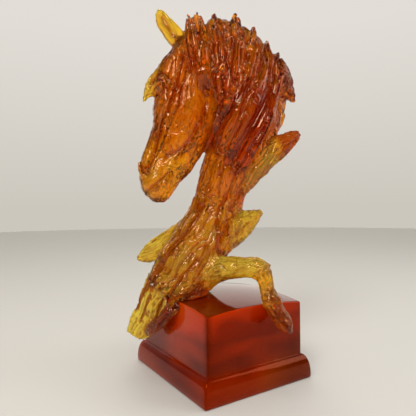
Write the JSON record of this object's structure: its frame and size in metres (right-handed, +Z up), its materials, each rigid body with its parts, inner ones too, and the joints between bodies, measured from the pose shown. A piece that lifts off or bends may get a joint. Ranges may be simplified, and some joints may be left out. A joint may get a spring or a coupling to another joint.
{
  "type": "horse figurine",
  "caption": "Cast crystal glass horse with arched neck, flame-like mane and a raised foreleg, bonded to a moulded rectangular glass plinth.",
  "frame": {"origin": "centre of the plinth's ground underside", "axes": "+Z up, -Y the plinth's front face, +X the plinth's right; the horse's profile is turned 33 degrees clockwise seen from above"},
  "size_m": [0.1549, 0.1558, 0.3566],
  "materials": {
    "amber_glass": "polished cast glass",
    "plinth_glass": "polished cast glass",
    "adhesive": "clear cured adhesive"
  },
  "bodies": {
    "root": {"plinth_block": "plinth_glass", "plinth_foot": "plinth_glass", "bond_film": "adhesive", "chest": "amber_glass", "neck": "amber_glass", "head": "amber_glass", "left_ear": "amber_glass", "right_ear": "amber_glass", "forelock": "amber_glass", "left_mane_lock_1": "amber_glass", "left_mane_lock_2": "amber_glass", "left_mane_lock_3": "amber_glass", "left_mane_lock_4": "amber_glass", "left_mane_lock_5": "amber_glass", "left_mane_lock_6": "amber_glass", "left_mane_lock_7": "amber_glass", "right_mane_lock_1": "amber_glass", "right_mane_lock_2": "amber_glass", "right_mane_lock_3": "amber_glass", "right_mane_lock_4": "amber_glass", "right_mane_lock_5": "amber_glass", "right_mane_lock_6": "amber_glass", "right_mane_lock_7": "amber_glass", "nape_flick": "amber_glass", "upper_streamer": "amber_glass", "lower_streamer": "amber_glass", "left_streamer": "amber_glass", "trailing_drape": "amber_glass", "drape_ruffle": "amber_glass", "foreleg_upper": "amber_glass", "foreleg_lower": "amber_glass", "foreleg_hoof": "amber_glass"}
  },
  "joints": []
}
